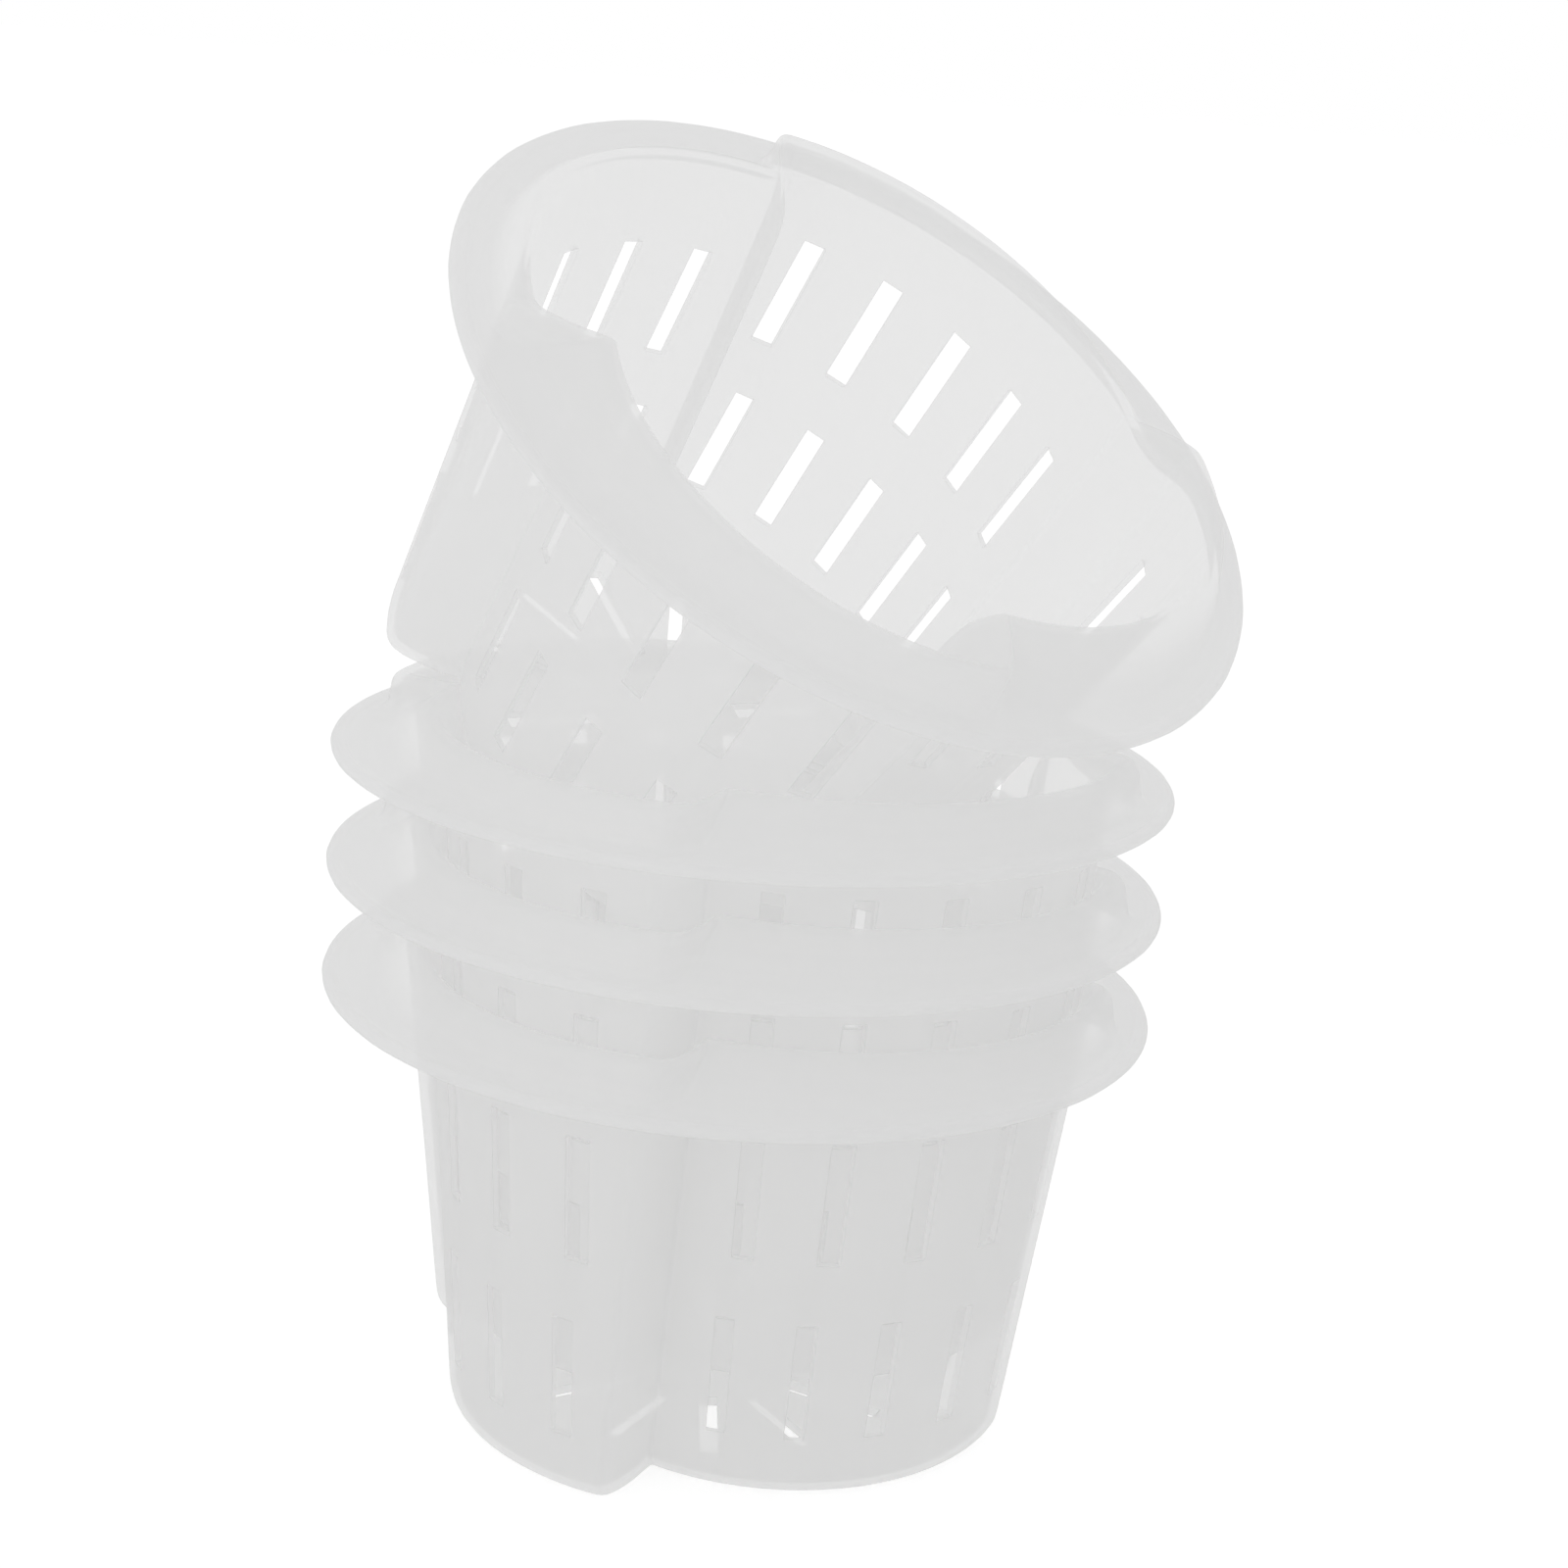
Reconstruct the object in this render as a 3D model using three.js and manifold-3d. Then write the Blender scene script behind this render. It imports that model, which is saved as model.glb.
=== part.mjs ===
// Four alike draining baskets for soft cheese. Three stand nested on one axis, and the fourth rests
// tilted in the mouth of the third. Each basket is one thin moulding: a floor, a tapered wall of four
// swirling quarters with two rows of drain slots, and a rim that folds over a crest and down a skirt
// to a flat round brim. Millimetres, +Z up, origin at the centre of the lowest basket's base.

import * as THREE from 'three';
import { mergeVertices } from 'three/addons/utils/BufferGeometryUtils.js';
import Module from 'manifold-3d';

const wasm = await Module();
wasm.setup();

// Body: mean outer radius at the base and at the brim's plane, the sheet's thickness, and how far the
// inner surface's steps stand back, which keeps the sheet thick across them.
const BASE_RADIUS = 42.6;
const NECK_RADIUS = 49.6;
const BRIM_HEIGHT = 67.2;
const WALL = 1.2;
const INNER_TURN = -1.2;
const FLOOR = 1.5;
const BASE_CORNER = 3.6;

// Swirl: each quarter's radius grows by STEP_DEPTH from the foot of one step to the corner of the next.
const QUARTERS = 4;
const QUARTER = 90;
const STEP_DEPTH = 12.2;
const STEP_ANGLE = -6.3;
const CORNER = 5.5;
const CORNER_POWER = 1.7;
const LEAN = 0.08;
const CREST_TURN = 2;

// Rim: the crest's height over the brim's plane, and how far each line of the rim follows the swirl.
const BRIM_RADIUS = 65;
const BRIM_EDGE = 0.7;
const CREST_RISE = 7.3;
const CREST_RADIUS = 51.5;
const CREST_SWING = 10.8;
const SKIRT_RADIUS = 58.2;
const SKIRT_SWING = 4;

// Drain slots: two rows on the wall, and short radial ones in the floor.
const SLOTS_PER_QUARTER = 5;
const FIRST_SLOT = 13.6;
const SLOT_SPACING = 15.6;
const SLOT_ROWS = [
  { bottom: 10.2, top: 29.6, width: 3.0 },
  { bottom: 39.7, top: 59.4, width: 3.4 },
];
const FLOOR_SLOTS_PER_QUARTER = 3;
const FLOOR_SLOT = { from: 13, to: 31, width: 3.0 };

// Facets: even columns along a quarter, then finer ones round its corner.
const EVEN_COLUMNS = 8;
const CORNER_COLUMNS = 4;
const COLUMNS = EVEN_COLUMNS + CORNER_COLUMNS;
const MID_WALL = 34.6;

// Arrangement: how much higher each nested basket sits, and how the fourth one rests.
const NEST_PITCH = 18.4;
const TILT = { toward: -46.6, lean: 35.7, spin: 171.4, brim: [12.2, -12.4, 159.6] };

const PLASTIC = { color: 0xe6e6e4, roughness: 0.42, metalness: 0 };

const radians = THREE.MathUtils.degToRad;
const taper = (NECK_RADIUS - BASE_RADIUS) / BRIM_HEIGHT;

// Mean outer radius of the wall at a height above the base.
function wallRadius(height) {
  return BASE_RADIUS + taper * height;
}

// How far round from the lowest foot a step stands at a height: the steps lean back toward the base.
function stepTurn(height) {
  const rise = Math.max(0, height - BRIM_HEIGHT) / CREST_RISE;
  return STEP_ANGLE + LEAN * (height - BRIM_HEIGHT) + CREST_TURN * rise;
}

// Swirl along a quarter, from -0.5 at a step's foot to 0.5, then back down round the corner.
function swirl(angle) {
  const along = THREE.MathUtils.euclideanModulo(angle, QUARTER);
  const past = Math.max(0, (along - QUARTER + CORNER) / CORNER);
  return Math.sin(radians(along)) - past ** CORNER_POWER - 0.5;
}

// Angle from a step's foot of a column of facets.
function columnAngle(column) {
  const quarter = Math.floor(column / COLUMNS);
  const place = column % COLUMNS;
  const evenStep = (QUARTER - CORNER) / EVEN_COLUMNS;
  const cornerStep = CORNER / CORNER_COLUMNS;
  const even = Math.min(place, EVEN_COLUMNS) * evenStep;
  const fine = Math.max(0, place - EVEN_COLUMNS) * cornerStep;
  return quarter * QUARTER + even + fine;
}

// Points of a quarter round in the section, from one angle to another.
function roundPoints(centre, radius, from, to, steps) {
  const points = [];
  for (let step = 0; step <= steps; step += 1) {
    const angle = radians(from + ((to - from) * step) / steps);
    points.push({
      radius: centre.radius + radius * Math.cos(angle),
      height: centre.height + radius * Math.sin(angle),
      swing: centre.swing,
      turn: centre.turn,
    });
  }
  return points;
}

// The section, from the axis under the floor, out and over the rim, and back in above the floor.
function section() {
  const crestTop = BRIM_HEIGHT + CREST_RISE;
  const outerCorner = {
    radius: wallRadius(BASE_CORNER) - BASE_CORNER,
    height: BASE_CORNER,
    swing: STEP_DEPTH,
  };
  const innerCorner = { ...outerCorner, turn: INNER_TURN };
  const outside = [
    { radius: 0, height: 0, swing: 0 },
    ...roundPoints(outerCorner, BASE_CORNER, -90, 0, 3),
    { radius: wallRadius(MID_WALL), height: MID_WALL, swing: STEP_DEPTH },
    { radius: wallRadius(crestTop - 4), height: crestTop - 4, swing: STEP_DEPTH },
  ];
  const rim = [
    { radius: CREST_RADIUS, height: crestTop - 1.3, swing: CREST_SWING },
    { radius: CREST_RADIUS + 2, height: crestTop - 3.2, swing: CREST_SWING },
    { radius: SKIRT_RADIUS - 0.6, height: BRIM_HEIGHT - 0.2, swing: SKIRT_SWING },
    { radius: BRIM_RADIUS - 0.5, height: BRIM_HEIGHT - BRIM_EDGE, swing: 0 },
    { radius: BRIM_RADIUS, height: BRIM_HEIGHT, swing: 0 },
    { radius: BRIM_RADIUS - 0.5, height: BRIM_HEIGHT + BRIM_EDGE, swing: 0 },
    { radius: SKIRT_RADIUS + 0.8, height: BRIM_HEIGHT + 1, swing: SKIRT_SWING },
    { radius: CREST_RADIUS + 2.4, height: crestTop - 1.7, swing: CREST_SWING },
    { radius: CREST_RADIUS + 0.8, height: crestTop - 0.2, swing: CREST_SWING },
    { radius: CREST_RADIUS - 0.8, height: crestTop - 0.2, swing: CREST_SWING },
  ];
  const inside = [
    {
      radius: wallRadius(crestTop - 4) - WALL,
      height: crestTop - 4.5,
      swing: STEP_DEPTH,
      turn: INNER_TURN,
    },
    {
      radius: wallRadius(MID_WALL) - WALL,
      height: MID_WALL,
      swing: STEP_DEPTH,
      turn: INNER_TURN,
    },
    ...roundPoints(innerCorner, BASE_CORNER - WALL, 0, -90, 2),
    { radius: 0, height: FLOOR, swing: 0 },
  ];
  return [...outside, ...rim, ...inside];
}

// A lathed section whose vertices are then carried out along the swirl and round with the lean.
function swirledShell() {
  const points = section();
  const outline = points.map((point) => new THREE.Vector2(point.radius, point.height));
  const columns = QUARTERS * COLUMNS;
  const geometry = new THREE.LatheGeometry(outline, columns);
  geometry.rotateX(Math.PI / 2);
  const position = geometry.attributes.position;
  for (let vertex = 0; vertex < position.count; vertex += 1) {
    const point = points[vertex % points.length];
    const column = Math.floor(vertex / points.length) % columns;
    const fromFoot = columnAngle(column);
    const radius = point.radius + point.swing * swirl(fromFoot);
    const angle = radians(fromFoot + stepTurn(point.height) + (point.turn ?? 0));
    position.setXYZ(vertex, radius * Math.cos(angle), radius * Math.sin(angle), point.height);
  }
  return geometry;
}

// A manifold-3d solid from a closed three.js geometry.
function toSolid(geometry) {
  const bare = new THREE.BufferGeometry();
  bare.setAttribute('position', geometry.attributes.position);
  bare.setIndex(geometry.index);
  const merged = mergeVertices(bare, 1e-4);
  const triVerts = [];
  const index = merged.index.array;
  for (let i = 0; i < index.length; i += 3) {
    const [a, b, c] = [index[i], index[i + 1], index[i + 2]];
    if (a !== b && b !== c && c !== a) triVerts.push(a, b, c);
  }
  return new wasm.Manifold(new wasm.Mesh({
    numProp: 3,
    vertProperties: new Float32Array(merged.attributes.position.array),
    triVerts: new Uint32Array(triVerts),
  }));
}

// A three.js geometry from a manifold-3d solid.
function toGeometry(solid) {
  const mesh = solid.getMesh();
  const geometry = new THREE.BufferGeometry();
  geometry.setAttribute('position', new THREE.BufferAttribute(mesh.vertProperties, 3));
  geometry.setIndex(new THREE.BufferAttribute(mesh.triVerts, 1));
  geometry.computeVertexNormals();
  return geometry;
}

// The block that cuts one wall slot, square to the axis at its angle.
function wallSlotCutter(row, quarter, slot) {
  const middle = (row.bottom + row.top) / 2;
  const fromFoot = FIRST_SLOT + SLOT_SPACING * slot;
  const angle = radians(quarter * QUARTER + fromFoot + stepTurn(middle));
  const radius = wallRadius(middle) - WALL / 2 + STEP_DEPTH * swirl(fromFoot);
  const block = new THREE.BoxGeometry(8, row.width, row.top - row.bottom);
  block.translate(radius, 0, middle);
  block.rotateZ(angle);
  return block;
}

// The block that cuts one radial slot of the floor.
function floorSlotCutter(quarter, slot) {
  const share = (slot + 0.5) / FLOOR_SLOTS_PER_QUARTER;
  const length = FLOOR_SLOT.to - FLOOR_SLOT.from;
  const block = new THREE.BoxGeometry(length, FLOOR_SLOT.width, 4 * FLOOR);
  block.translate((FLOOR_SLOT.from + FLOOR_SLOT.to) / 2, 0, 0);
  block.rotateZ(radians((quarter + share) * QUARTER + stepTurn(0)));
  return block;
}

function slotCutters() {
  const cutters = [];
  for (let quarter = 0; quarter < QUARTERS; quarter += 1) {
    for (const row of SLOT_ROWS) {
      for (let slot = 0; slot < SLOTS_PER_QUARTER; slot += 1) {
        cutters.push(wallSlotCutter(row, quarter, slot));
      }
    }
    for (let slot = 0; slot < FLOOR_SLOTS_PER_QUARTER; slot += 1) {
      cutters.push(floorSlotCutter(quarter, slot));
    }
  }
  return cutters;
}

function basketGeometry() {
  let basket = toSolid(swirledShell());
  for (const cutter of slotCutters()) {
    basket = basket.subtract(toSolid(cutter));
  }
  return toGeometry(basket);
}

function basketMesh(name, geometry) {
  const mesh = new THREE.Mesh(geometry, new THREE.MeshStandardMaterial(PLASTIC));
  mesh.name = name;
  return mesh;
}

// Spin about the basket's own axis, lean it over, and turn the lean to its side.
function placeTilted(mesh) {
  const brimCentre = new THREE.Vector3(...TILT.brim);
  const turn = new THREE.Matrix4().makeRotationZ(radians(TILT.toward));
  turn.multiply(new THREE.Matrix4().makeRotationY(radians(TILT.lean)));
  turn.multiply(new THREE.Matrix4().makeRotationZ(radians(TILT.spin)));
  mesh.quaternion.setFromRotationMatrix(turn);
  const toBase = new THREE.Vector3(0, 0, -BRIM_HEIGHT).applyQuaternion(mesh.quaternion);
  mesh.position.copy(brimCentre.add(toBase));
}

function basketSet() {
  const geometry = basketGeometry();
  const set = new THREE.Group();
  const nested = ['basket_bottom', 'basket_second', 'basket_third'];
  nested.forEach((name, place) => {
    const mesh = basketMesh(name, geometry);
    mesh.position.z = place * NEST_PITCH;
    set.add(mesh);
  });
  const tilted = basketMesh('basket_tilted', geometry);
  placeTilted(tilted);
  set.add(tilted);
  return set;
}

export default basketSet();
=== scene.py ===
import math

import bmesh
import bpy
import numpy as np
from mathutils import Matrix, Quaternion, Vector


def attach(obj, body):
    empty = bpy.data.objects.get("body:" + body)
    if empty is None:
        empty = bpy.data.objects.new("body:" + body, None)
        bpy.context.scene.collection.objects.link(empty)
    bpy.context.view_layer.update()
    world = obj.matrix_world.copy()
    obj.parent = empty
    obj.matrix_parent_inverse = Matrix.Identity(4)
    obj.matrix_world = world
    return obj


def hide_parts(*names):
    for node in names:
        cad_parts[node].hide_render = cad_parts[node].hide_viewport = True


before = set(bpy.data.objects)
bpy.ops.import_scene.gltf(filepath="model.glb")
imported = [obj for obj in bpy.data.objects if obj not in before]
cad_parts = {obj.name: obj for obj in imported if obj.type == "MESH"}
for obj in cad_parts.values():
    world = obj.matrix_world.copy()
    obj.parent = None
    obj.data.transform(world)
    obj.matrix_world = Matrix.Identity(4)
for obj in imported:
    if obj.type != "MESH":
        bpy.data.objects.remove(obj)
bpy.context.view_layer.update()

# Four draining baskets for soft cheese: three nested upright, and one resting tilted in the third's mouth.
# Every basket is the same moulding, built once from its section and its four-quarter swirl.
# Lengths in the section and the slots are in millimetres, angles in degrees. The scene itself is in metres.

MM = 0.001

# ---------------------------------------------------------------------------------------------- camera
LENS, SENSOR_WIDTH = 64.1925, 36
CLIP_START, CLIP_END = 0.02, 60
CAMERA_AIM = Vector((4.9, 0.0, 100.2)) * MM
CAMERA_DISTANCE = 434.4 * MM
CAMERA_ELEVATION = 14.9
CAMERA_ROLL = 4.65


def make_camera():
    data = bpy.data.cameras.new("camera")
    data.sensor_width = SENSOR_WIDTH
    data.lens = LENS
    data.clip_start, data.clip_end = CLIP_START, CLIP_END
    camera = bpy.data.objects.new("camera", data)
    bpy.context.scene.collection.objects.link(camera)
    rise = math.radians(CAMERA_ELEVATION)
    back = Vector((0, -math.cos(rise), math.sin(rise)))
    camera.rotation_mode = "QUATERNION"
    camera.location = CAMERA_AIM + back * CAMERA_DISTANCE
    roll = Quaternion((0, 0, 1), math.radians(CAMERA_ROLL))
    camera.rotation_quaternion = (-back).to_track_quat("-Z", "Y") @ roll
    bpy.context.scene.camera = camera


make_camera()

# ------------------------------------------------------------------------------------- basket's sizes
BASE_RADIUS = 42.6
NECK_RADIUS = 49.6
BRIM_HEIGHT = 67.2
WALL = 1.2
FLOOR = 1.5
BASE_CORNER = 3.6
INNER_TURN = -1.2

QUARTERS = 4
QUARTER = 90.0
STEP_DEPTH = 12.2
STEP_ANGLE = -6.3
LEAN = 0.08
CREST_RISE = 7.3
CREST_TURN = 2.0
CORNER = 5.5
CORNER_POWER = 1.7
FOOT_FILLET = 0.22

SLOT_CENTRES = [13.6 + 15.6 * place for place in range(5)]
SLOT_ROWS = [(10.2, 29.6, 3.0), (39.7, 59.4, 3.4)]  # from, to, width
SLOT_LEAD = 1.5  # how far past its ends a slot's sides still run straight
WIDTH_LEAD = 2.0  # how far past its ends they keep their width
FLOOR_SLOT_CENTRES = [15.0, 45.0, 75.0]
FLOOR_SLOT_FROM, FLOOR_SLOT_TO, FLOOR_SLOT_WIDTH = 13.0, 31.0, 3.0
SLOT_ROUND = 0.28  # size of the rounding of a slot's corners and edges

NEST_PITCH = 18.4
TILT_TOWARD, TILT_LEAN, TILT_SPIN = -46.6, 35.7, 171.4
TILT_BRIM = Vector((12.2, -12.4, 159.6))


# ---------------------------------------------------------------------------------------- swirl shape
def wall_radius(height):
    return BASE_RADIUS + (NECK_RADIUS - BASE_RADIUS) * height / BRIM_HEIGHT


def step_turn(height):
    """How far round the foot of a step stands at a height."""
    above = max(0.0, height - BRIM_HEIGHT) / CREST_RISE
    return STEP_ANGLE + LEAN * (height - BRIM_HEIGHT) + CREST_TURN * above


def swirl(angle):
    """-0.5 at a step's foot, rising to 0.5, then down round the corner, with a fillet at the foot."""
    along = np.mod(angle, QUARTER)
    near_foot = along < QUARTER / 2
    rising = np.sin(np.radians(np.where(near_foot, along, along - QUARTER)))
    ending = np.where(near_foot, along + QUARTER, along)
    past = np.maximum(0.0, (ending - QUARTER + CORNER) / CORNER)
    falling = np.sin(np.radians(np.minimum(ending, QUARTER))) - past ** CORNER_POWER
    near = np.maximum(0.0, FOOT_FILLET - np.abs(rising - falling)) / FOOT_FILLET
    return np.maximum(rising, falling) + near * near * FOOT_FILLET / 4 - 0.5


def slot_turn(height):
    """How far round the slots stand: upright along each row, and following the step between the rows."""
    if height > BRIM_HEIGHT:
        return step_turn(height)
    marks, turns = [0.0], [step_turn(0.0)]
    for bottom, top, _ in SLOT_ROWS:
        middle = step_turn((bottom + top) / 2)
        marks += [bottom - SLOT_LEAD, top + SLOT_LEAD]
        turns += [middle, middle]
    marks.append(BRIM_HEIGHT)
    turns.append(step_turn(BRIM_HEIGHT))
    return float(np.interp(height, marks, turns))


def slot_width(height):
    (_, low_top, low_width), (high_bottom, _, high_width) = SLOT_ROWS
    marks = [low_top + WIDTH_LEAD, high_bottom - WIDTH_LEAD]
    return float(np.interp(height, marks, [low_width, high_width]))


# -------------------------------------------------------------------------------------------- columns
FOOT_COLUMNS = [0.0, 0.45, 1.0, 1.8, 3.0, 4.8, 7.4]
CORNER_COLUMNS = [80.6, 82.6, 84.2, 85.2, 86.0, 86.7, 87.3, 87.85, 88.35, 88.8, 89.2, 89.6]
BETWEEN_SLOTS = [6.0, 9.6]
SLOT_SIDES = [(-1, -1), (-1, 0), (-1, 1), (1, -1), (1, 0), (1, 1)]
CELLS_ACROSS = 3  # a slot's opening, from (-1, 0) to (1, 0)
FADE_ANGLES, FADE_SHARES = [1.0, 9.0, 80.0, 86.0], [0.0, 1.0, 1.0, 0.0]  # how far columns follow the slots


def quarter_columns():
    """(angle from the foot, side of the slot, place on that side) of each column in a quarter."""
    columns = [(angle, 0, 0) for angle in FOOT_COLUMNS]
    for number, centre in enumerate(SLOT_CENTRES):
        columns += [(centre, side, place) for side, place in SLOT_SIDES]
        if number < len(SLOT_CENTRES) - 1:
            columns += [(centre + gap, 0, 0) for gap in BETWEEN_SLOTS]
    return columns + [(angle, 0, 0) for angle in CORNER_COLUMNS]


COLUMNS = quarter_columns()
PER_QUARTER = len(COLUMNS)
AROUND = QUARTERS * PER_QUARTER
SLOT_STARTS = [i for i, (_, side, place) in enumerate(COLUMNS) if (side, place) == SLOT_SIDES[0]]


def floor_slot_start(centre):
    """The first of the six columns whose middle two stand nearest to a floor slot's centre."""
    middle = len(SLOT_SIDES) // 2
    starts = range(PER_QUARTER - len(SLOT_SIDES))
    return min(starts, key=lambda i: abs((COLUMNS[i + middle - 1][0] + COLUMNS[i + middle][0]) / 2 - centre))


FLOOR_STARTS = [floor_slot_start(centre) for centre in FLOOR_SLOT_CENTRES]


def sideways(side, place, width, radius):
    """Angle of a slot's edge column from the slot's centre."""
    offset = side * width / 2 + place * SLOT_ROUND
    return math.degrees(math.asin(offset / radius)) if side else 0.0


def wall_angles(radius, height, inner):
    """Angles of one quarter's columns on the wall: along the slots, and towards each step along the step."""
    step = step_turn(height) + inner * INNER_TURN
    slot = slot_turn(height)
    width = slot_width(height)
    angles = []
    for angle, side, place in COLUMNS:
        share = float(np.interp(angle, FADE_ANGLES, FADE_SHARES))
        edge = sideways(side, place, width, radius)
        angles.append(angle + share * slot + (1 - share) * step + edge)
    return np.array(angles)


def floor_angles(radius):
    """Angles of one quarter's columns on the floor, where they follow the floor's own slots."""
    places, angles = [], []
    for start, centre in zip(FLOOR_STARTS, FLOOR_SLOT_CENTRES):
        for number, (side, place) in enumerate(SLOT_SIDES):
            places.append(start + number)
            angles.append(centre + sideways(side, place, FLOOR_SLOT_WIDTH, radius))
    places = [places[-1] - PER_QUARTER, *places, places[0] + PER_QUARTER]
    angles = [angles[-1] - QUARTER, *angles, angles[0] + QUARTER]
    return np.interp(np.arange(PER_QUARTER), places, angles) + step_turn(0.0)


# ------------------------------------------------------------------------------------------- stations
WALL_HEIGHTS = (5.6, 8.0, 32.6, 36.8, 63.0, 68.0)  # rings below, between and above the slot rows
FLOOR_HUB = 9.0  # radius of the innermost ring
LEAD_IN, LEAD_IN_SWING, LEAD_IN_FLOOR = 2.5, 0.9, 0.25  # the ring just inside the base's corner
CORNER_STEPS = 4


def station(radius, height, swing=0.0, inner=0.0, floor=0.0, mark=None):
    """One ring of the section. inner is how far it takes the inside's turn, and floor how far its columns
    follow the floor's slots. mark names the end of a slot that lies on it."""
    return {"radius": radius, "height": height, "swing": swing, "inner": inner, "floor": floor, "mark": mark}


def wall_stations(inner):
    heights = {height: None for height in WALL_HEIGHTS}
    for row, (bottom, top, _) in enumerate(SLOT_ROWS):
        heights[(bottom + top) / 2] = None
        for name, end in (("bottom", bottom), ("top", top)):
            heights[end - SLOT_ROUND] = None
            heights[end] = (row, name)
            heights[end + SLOT_ROUND] = None
    made = []
    for height in sorted(heights):
        radius = wall_radius(height) - inner * WALL
        made.append(station(radius, height, STEP_DEPTH, inner, mark=heights[height]))
    return made


def floor_stations(inner):
    ends = {FLOOR_SLOT_FROM: ("floor", "bottom"), FLOOR_SLOT_TO: ("floor", "top")}
    rings = [FLOOR_HUB, (FLOOR_SLOT_FROM + FLOOR_SLOT_TO) / 2]
    rings += [end + k * SLOT_ROUND for end in ends for k in (-1, 0, 1)]
    return [station(ring, inner * FLOOR, 0.0, inner, 1.0, ends.get(ring)) for ring in sorted(rings)]


def base_corner(inner):
    radius = wall_radius(BASE_CORNER) - BASE_CORNER
    size = BASE_CORNER - inner * WALL
    lead_in = station(radius - LEAD_IN, BASE_CORNER - size, STEP_DEPTH * LEAD_IN_SWING, inner, LEAD_IN_FLOOR)
    made = [lead_in]
    for step in range(CORNER_STEPS + 1):
        angle = math.radians(90 * step / CORNER_STEPS - 90)
        place = radius + size * math.cos(angle), BASE_CORNER + size * math.sin(angle)
        made.append(station(*place, STEP_DEPTH, inner))
    return made


# The fold, as (radius, height, swing): up under the crest and out under the brim, then back over them and
# down into the mouth.
UNDER_FOLD = [
    (50.05, 70.4, 12.2), (50.35, 72.0, 11.7), (50.95, 73.0, 11.1), (51.65, 73.3, 10.8), (52.35, 72.9, 10.6),
    (53.0, 71.9, 10.2), (54.3, 70.2, 8.6), (55.9, 68.5, 6.3), (57.4, 67.3, 4.4), (58.8, 66.8, 3.0),
    (60.6, 66.6, 1.4), (62.6, 66.5, 0.0), (64.0, 66.45, 0.0), (64.6, 66.55, 0.0),
]
OVER_FOLD = [
    (65.0, 67.1, 0.0), (64.9, 67.7, 0.0), (64.4, 68.3, 0.0), (63.6, 68.4, 0.0), (63.0, 68.1, 0.0),
    (62.6, 67.75, 0.0), (61.2, 67.8, 0.9), (59.8, 68.0, 2.3), (58.9, 68.25, 3.2), (58.0, 68.9, 4.1),
    (56.8, 70.0, 5.9), (55.4, 71.4, 8.2), (54.5, 72.4, 9.6), (53.8, 73.3, 10.3), (52.9, 74.1, 10.6),
    (52.0, 74.5, 10.8), (51.2, 74.4, 10.9), (50.55, 73.9, 11.0), (50.0, 73.0, 11.2), (49.5, 71.6, 11.6),
    (49.0, 70.2, 12.0),
]
INSIDE_TURNS_FROM, INSIDE_TURNS_TO = 73.9, 69.0  # heights between which the mouth takes up the inside's turn
BRIM_FROM, BRIM_FULL = 53.0, 57.5  # radii between which the sheet becomes the brim


def fold_stations():
    made = [station(radius, height, swing) for radius, height, swing in UNDER_FOLD]
    heights = [height for _, height, _ in OVER_FOLD]
    crest = heights.index(max(heights))
    for number, (radius, height, swing) in enumerate(OVER_FOLD):
        down = np.interp(height, [INSIDE_TURNS_TO, INSIDE_TURNS_FROM], [1.0, 0.0])
        made.append(station(radius, height, swing, float(down) if number > crest else 0.0))
    return made


def skin(inner):
    """The rings of one side of the sheet, from the floor's hub up to the fold."""
    return floor_stations(inner) + base_corner(inner) + wall_stations(inner)


# ---------------------------------------------------------------------------------------- basket mesh
EDGE_SHARES = (0.25, 0.75)  # places of the two loops through a slot's edge, which keep its middle flat


def ring_points(ring):
    radius, height = ring["radius"], ring["height"]
    angles = wall_angles(radius, height, ring["inner"])
    if ring["floor"]:
        angles = ring["floor"] * floor_angles(radius) + (1 - ring["floor"]) * angles
    turned = angles - step_turn(height) - ring["inner"] * INNER_TURN
    out = radius + ring["swing"] * swirl(turned)
    points = []
    for quarter in range(QUARTERS):
        around = np.radians(angles + quarter * QUARTER)
        points.append(np.c_[out * np.cos(around), out * np.sin(around), np.full(len(out), height)])
    return np.concatenate(points) * MM


def find_slots(rings):
    """Each slot of one side of the sheet, as its end rows and its first column."""
    marks = {ring["mark"]: row for row, ring in enumerate(rings) if ring["mark"]}
    slots = []
    for name, starts in ((0, SLOT_STARTS), (1, SLOT_STARTS), ("floor", FLOOR_STARTS)):
        ends = sorted((marks[(name, "bottom")], marks[(name, "top")]))
        for quarter in range(QUARTERS):
            slots += [(ends, quarter * PER_QUARTER + start + 1) for start in starts]
    return slots


def cells_of(slots, first_row=0):
    """The cells of the sheet that the slots take, as (row, column)."""
    cells = set()
    for (low, high), column in slots:
        rows = range(first_row + low, first_row + high)
        cells.update((row, column + k) for row in rows for k in range(CELLS_ACROSS))
    return cells


def rim_of(slot):
    """The grid points round a slot's edge, in order."""
    (low, high), column = slot
    across = range(column, column + CELLS_ACROSS)
    up = [(row, column + CELLS_ACROSS) for row in range(low, high)]
    down = [(row, column) for row in range(high, low, -1)]
    return [(low, c) for c in across] + up + [(high, c + 1) for c in reversed(across)] + down


def sheet_faces(grid, openings):
    """The faces between neighbouring rings, leaving out the cells that the slots take."""
    faces = []
    for row in range(len(grid) - 1):
        for column in range(AROUND):
            if (row, column) not in openings:
                after = (column + 1) % AROUND
                near = grid[row, column], grid[row, after]
                far = grid[row + 1, after], grid[row + 1, column]
                faces.append(near + far)
    return faces


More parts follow.
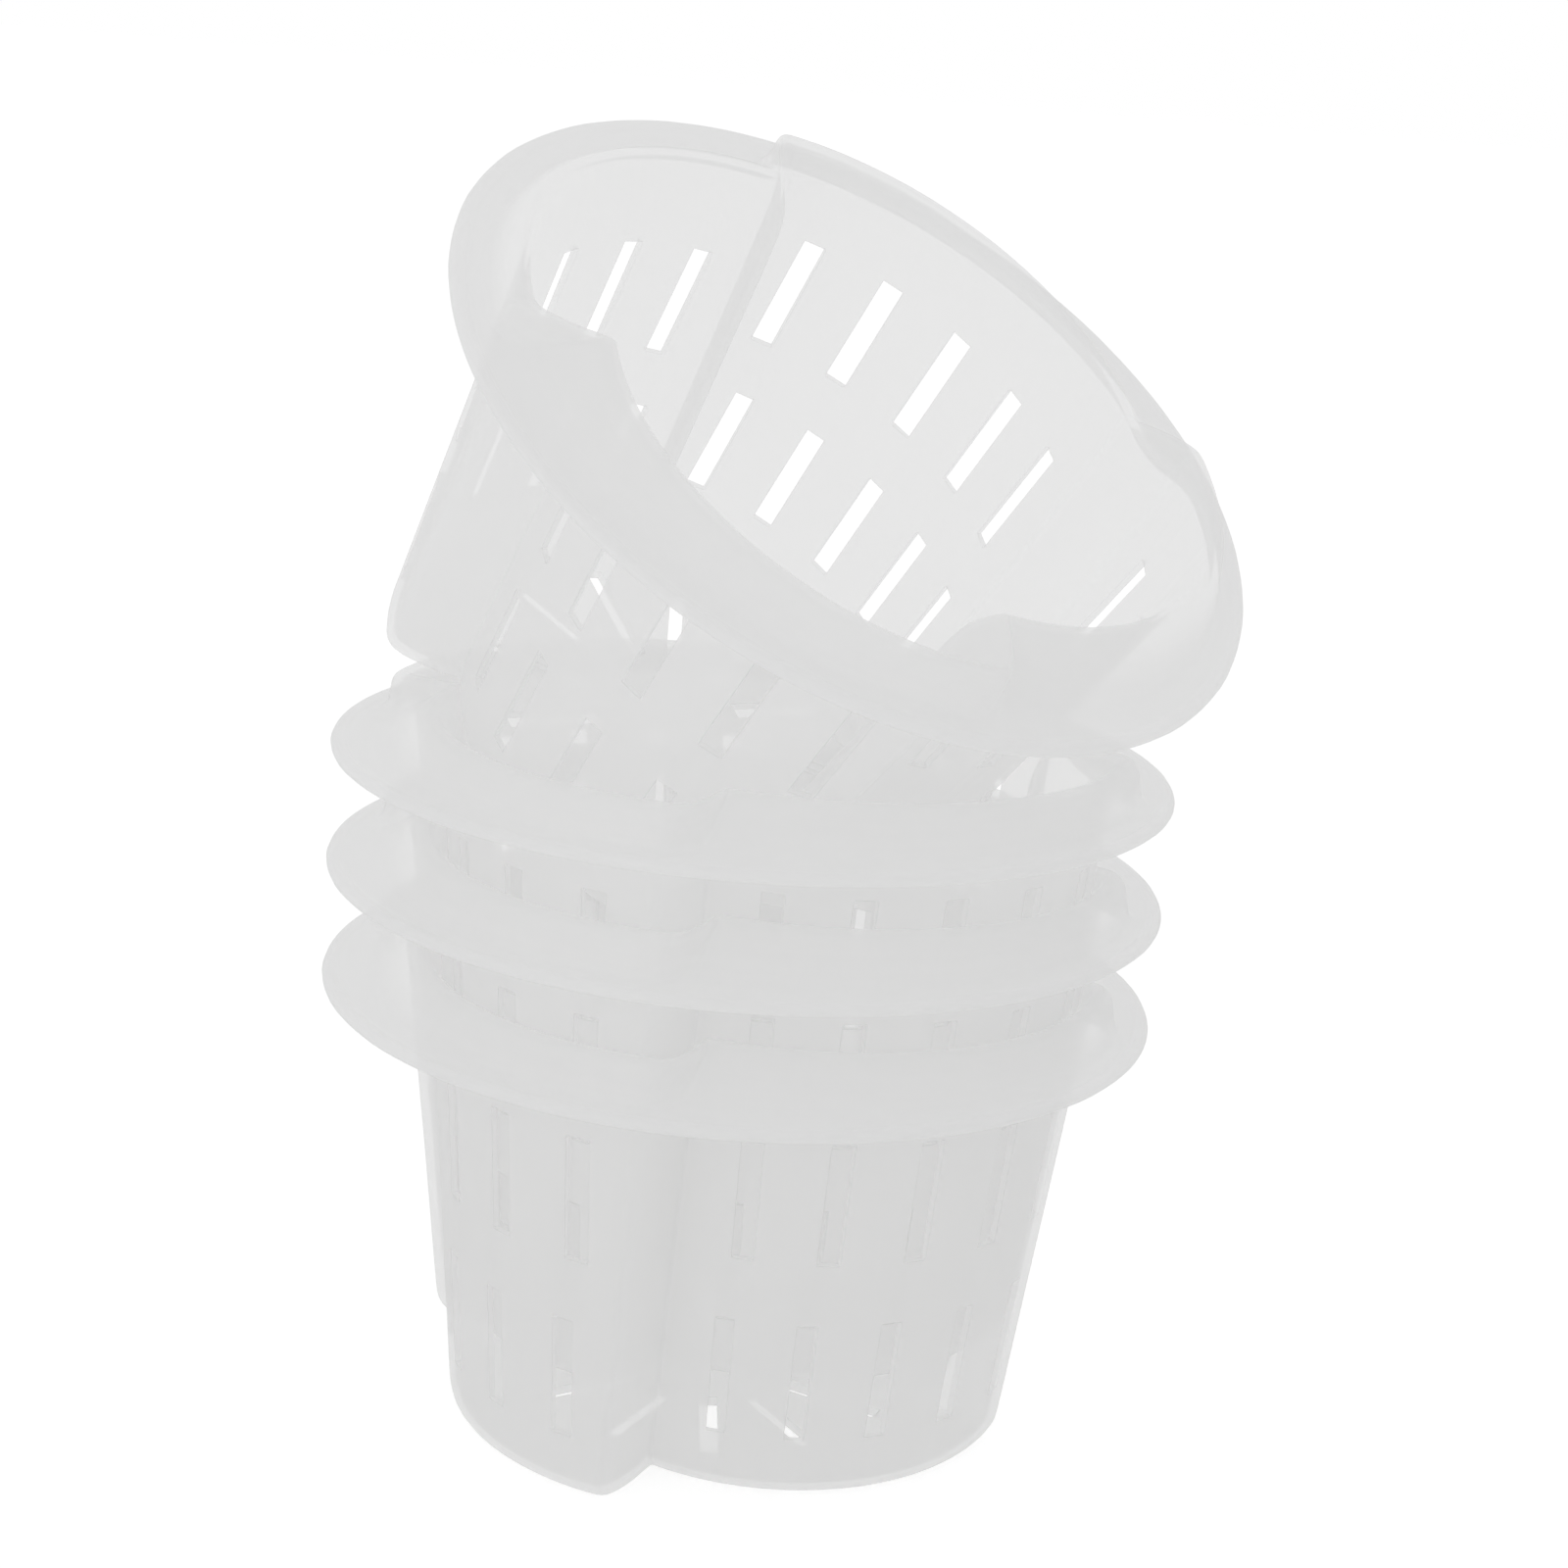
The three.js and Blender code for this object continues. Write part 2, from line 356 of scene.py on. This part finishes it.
def slot_edges(vertices, grid, slots):
    """The faces through the sheet round each slot, and the vertices that they add."""
    faces, added, total = [], [], len(vertices)
    last = len(grid) - 1
    for slot in slots:
        outer = [grid[row, c] for row, c in rim_of(slot)]
        inner = [grid[last - row, c] for row, c in rim_of(slot)]
        count = len(outer)
        loops = [outer]
        for share in EDGE_SHARES:
            added.append(vertices[outer] * (1 - share) + vertices[inner] * share)
            loops.append(list(range(total, total + count)))
            total += count
        loops.append(inner)
        for near, far in zip(loops, loops[1:]):
            for k in range(count):
                n = (k + 1) % count
                faces.append((near[n], near[k], far[k], far[n]))
    return faces, added


def brim_shares(rings, grid, fold_rows, count):
    """How far each vertex belongs to the brim: 1 there, and 0 on the wall."""
    shares = np.zeros(count)
    for row in fold_rows:
        shares[grid[row]] = np.interp(rings[row]["radius"], [BRIM_FROM, BRIM_FULL], [0.0, 1.0])
    return shares


def basket_mesh():
    outside, fold, inside = skin(0), fold_stations(), skin(1)[::-1]
    rings = outside + fold + inside
    fold_rows = range(len(outside), len(outside) + len(fold))
    vertices = np.concatenate([ring_points(ring) for ring in rings])
    grid = np.arange(len(vertices)).reshape(len(rings), AROUND)
    slots = find_slots(outside)
    openings = cells_of(slots) | cells_of(find_slots(inside), fold_rows.stop)
    edge_faces, added = slot_edges(vertices, grid, slots)
    faces = sheet_faces(grid, openings) + edge_faces
    vertices = np.concatenate([vertices, *added])
    mesh = bpy.data.meshes.new("basket")
    mesh.from_pydata(vertices.tolist(), [], [tuple(int(v) for v in face) for face in faces])
    brim = brim_shares(rings, grid, fold_rows, len(vertices))
    mesh.attributes.new("brim", "FLOAT", "POINT").data.foreach_set("value", brim)
    return smoothed(mesh)


def smoothed(cage):
    """The cage subdivided once, with the middle of the floor closed on both sides."""
    holder = bpy.data.objects.new("cage", cage)
    bpy.context.scene.collection.objects.link(holder)
    holder.modifiers.new("smooth", "SUBSURF").levels = 1
    ready = holder.evaluated_get(bpy.context.evaluated_depsgraph_get())
    mesh = bpy.data.meshes.new_from_object(ready)
    bpy.data.objects.remove(holder)
    work = bmesh.new()
    work.from_mesh(mesh)
    bmesh.ops.holes_fill(work, edges=[edge for edge in work.edges if edge.is_boundary], sides=0)
    bmesh.ops.recalc_face_normals(work, faces=work.faces)
    for face in work.faces:
        face.smooth = True
    work.to_mesh(mesh)
    work.free()
    return mesh


# ------------------------------------------------------------------------------------------- material
PLASTIC_IOR = 1.49
WALL_CLEAR, BRIM_CLEAR = 0.24, 0.08  # share of the light that goes straight on
SPREAD_SHARE = 0.55  # share of the rest that comes out on the far side
DULL_TINT, BRIGHT_TINT = (0.985, 0.985, 0.984, 1), (0.997, 0.997, 0.996, 1)
SMOOTHEST, ROUGHEST = 0.34, 0.46
CLOUD_SCALE, CLOUD_DETAIL = 22, 3
GRAIN_SCALE, GRAIN_DETAIL, GRAIN_STRENGTH, GRAIN_DEPTH = 900, 2, 0.08, 0.0002


def noise(nodes, links, place, scale, detail):
    texture = nodes.new("ShaderNodeTexNoise")
    texture.inputs["Scale"].default_value = scale
    texture.inputs["Detail"].default_value = detail
    links.new(place.outputs["Object"], texture.inputs["Vector"])
    return texture.outputs["Fac"]


def ranged(nodes, links, value, to_least, to_most, least=0.0):
    """A value that runs from least to 1, spread over another range."""
    spread = nodes.new("ShaderNodeMapRange")
    spread.inputs["From Min"].default_value = least
    spread.inputs["To Min"].default_value = to_least
    spread.inputs["To Max"].default_value = to_most
    links.new(value, spread.inputs["Value"])
    return spread.outputs["Result"]


def mix_shader(nodes, links, first, second):
    mix = nodes.new("ShaderNodeMixShader")
    links.new(first, mix.inputs[1])
    links.new(second, mix.inputs[2])
    return mix


def clearness(nodes, links):
    """How much light goes straight on: little at the brim, more at the wall, and all of it at the skin that
    faces away, so that each wall counts once."""
    brim = nodes.new("ShaderNodeAttribute")
    brim.attribute_name = "brim"
    side = nodes.new("ShaderNodeNewGeometry")
    larger = nodes.new("ShaderNodeMath")
    larger.operation = "MAXIMUM"
    links.new(ranged(nodes, links, brim.outputs["Fac"], WALL_CLEAR, BRIM_CLEAR), larger.inputs[0])
    links.new(side.outputs["Backfacing"], larger.inputs[1])
    return larger.outputs["Value"]


def plastic():
    """Milky, satin polypropylene in a thin sheet, which lets some light straight on and spreads the rest."""
    material = bpy.data.materials.new("milky_plastic")
    material.use_nodes = True
    nodes, links = material.node_tree.nodes, material.node_tree.links
    shader = nodes["Principled BSDF"]
    shader.inputs["IOR"].default_value = PLASTIC_IOR
    place = nodes.new("ShaderNodeTexCoord")
    cloud = noise(nodes, links, place, CLOUD_SCALE, CLOUD_DETAIL)
    tint = nodes.new("ShaderNodeMix")
    tint.data_type = "RGBA"
    tint.inputs["A"].default_value = DULL_TINT
    tint.inputs["B"].default_value = BRIGHT_TINT
    links.new(cloud, tint.inputs["Factor"])
    links.new(tint.outputs["Result"], shader.inputs["Base Color"])
    links.new(ranged(nodes, links, cloud, SMOOTHEST, ROUGHEST), shader.inputs["Roughness"])
    bump = nodes.new("ShaderNodeBump")
    bump.inputs["Strength"].default_value = GRAIN_STRENGTH
    bump.inputs["Distance"].default_value = GRAIN_DEPTH
    links.new(noise(nodes, links, place, GRAIN_SCALE, GRAIN_DETAIL), bump.inputs["Height"])
    links.new(bump.outputs["Normal"], shader.inputs["Normal"])
    through = nodes.new("ShaderNodeBsdfTranslucent")
    links.new(tint.outputs["Result"], through.inputs["Color"])
    milky = mix_shader(nodes, links, shader.outputs["BSDF"], through.outputs["BSDF"])
    milky.inputs["Fac"].default_value = SPREAD_SHARE
    clear = nodes.new("ShaderNodeBsdfTransparent")
    sheet = mix_shader(nodes, links, milky.outputs["Shader"], clear.outputs["BSDF"])
    links.new(clearness(nodes, links), sheet.inputs["Fac"])
    links.new(sheet.outputs["Shader"], nodes["Material Output"].inputs["Surface"])
    return material


# ------------------------------------------------------------------------------------------ placement
def tilted_place():
    turn = Matrix.Rotation(math.radians(TILT_TOWARD), 4, "Z")
    turn = turn @ Matrix.Rotation(math.radians(TILT_LEAN), 4, "Y")
    turn = turn @ Matrix.Rotation(math.radians(TILT_SPIN), 4, "Z")
    base = TILT_BRIM - turn.to_3x3() @ Vector((0, 0, BRIM_HEIGHT))
    return Matrix.Translation(base * MM) @ turn


def add_basket(name, mesh, material, body, node, place):
    basket = bpy.data.objects.new(name, mesh.copy())
    bpy.context.scene.collection.objects.link(basket)
    basket.data.materials.clear()
    basket.data.materials.append(material)
    basket.data.transform(place)
    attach(basket, body)
    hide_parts(node)


def add_baskets():
    mesh = basket_mesh()
    material = plastic()
    for number, body in enumerate(("bottom", "second", "third")):
        place = Matrix.Translation((0, 0, number * NEST_PITCH * MM))
        add_basket(f"{body}_basket", mesh, material, body, f"basket_{body}", place)
    add_basket("tilted_basket", mesh, material, "tilted", "basket_tilted", tilted_place())


add_baskets()

# ----------------------------------------------------------------------------------- floor and light
SKY_SEEN, SKY_FRONT, SKY_BACK = 1.0, 0.68, 0.79
FLOOR_REACH, FLOOR_DROP, FLOOR_GLOW = 12.0, 0.0002, 0.34
FLOOR_COLOUR, FLOOR_ROUGHNESS, FLOOR_SPECULAR = (0.96, 0.96, 0.96, 1), 0.9, 0.1
WHITE = (1, 1, 1, 1)
LAMP_PLACE, LAMP_AIM = Vector((-0.3, -0.5, 0.3)), Vector((0, 0, 0.13))
LAMP_SIZE, LAMP_POWER = 0.4, 0.2
MAX_BOUNCES, DIFFUSE_BOUNCES, CLEAR_BOUNCES = 18, 16, 60


def when_seen(nodes, links, strength, seen):
    """Gives a strength its value where it is looked at. Returns the input for its value where it lights."""
    path = nodes.new("ShaderNodeLightPath")
    choice = nodes.new("ShaderNodeMix")
    choice.inputs["B"].default_value = seen
    links.new(path.outputs["Is Camera Ray"], choice.inputs["Factor"])
    links.new(choice.outputs["Result"], strength)
    return choice.inputs["A"]


def floor_material():
    material = bpy.data.materials.new("pale_floor")
    material.use_nodes = True
    nodes, links = material.node_tree.nodes, material.node_tree.links
    shader = nodes["Principled BSDF"]
    shader.inputs["Base Color"].default_value = FLOOR_COLOUR
    shader.inputs["Roughness"].default_value = FLOOR_ROUGHNESS
    shader.inputs["Specular IOR Level"].default_value = FLOOR_SPECULAR
    shader.inputs["Emission Color"].default_value = WHITE
    when_seen(nodes, links, shader.inputs["Emission Strength"], FLOOR_GLOW).default_value = 0.0
    return material


def add_floor():
    mesh = bpy.data.meshes.new("floor")
    corners = [(x * FLOOR_REACH, y * FLOOR_REACH, 0) for x, y in ((-1, -1), (1, -1), (1, 1), (-1, 1))]
    mesh.from_pydata(corners, [], [(0, 1, 2, 3)])
    mesh.materials.append(floor_material())
    floor = bpy.data.objects.new("floor", mesh)
    bpy.context.scene.collection.objects.link(floor)
    floor.location.z = -FLOOR_DROP


def add_world():
    """A white room, brighter behind the baskets than in front of them where it lights them."""
    world = bpy.data.worlds.new("studio")
    world.use_nodes = True
    nodes, links = world.node_tree.nodes, world.node_tree.links
    background = nodes["Background"]
    background.inputs["Color"].default_value = WHITE
    place = nodes.new("ShaderNodeTexCoord")
    axes = nodes.new("ShaderNodeSeparateXYZ")
    links.new(place.outputs["Generated"], axes.inputs["Vector"])
    lighting = when_seen(nodes, links, background.inputs["Strength"], SKY_SEEN)
    links.new(ranged(nodes, links, axes.outputs["Y"], SKY_FRONT, SKY_BACK, least=-1.0), lighting)
    bpy.context.scene.world = world


def add_lamp():
    data = bpy.data.lights.new("front", "AREA")
    data.shape = "DISK"
    data.size = LAMP_SIZE
    data.energy = LAMP_POWER
    lamp = bpy.data.objects.new("front", data)
    bpy.context.scene.collection.objects.link(lamp)
    lamp.location = LAMP_PLACE
    lamp.rotation_mode = "QUATERNION"
    lamp.rotation_quaternion = (LAMP_AIM - LAMP_PLACE).to_track_quat("-Z", "Y")


def set_looks():
    scene = bpy.context.scene
    scene.view_settings.view_transform = "Standard"
    scene.cycles.max_bounces = MAX_BOUNCES
    scene.cycles.diffuse_bounces = DIFFUSE_BOUNCES
    scene.cycles.transparent_max_bounces = CLEAR_BOUNCES


add_floor()
add_world()
add_lamp()
set_looks()
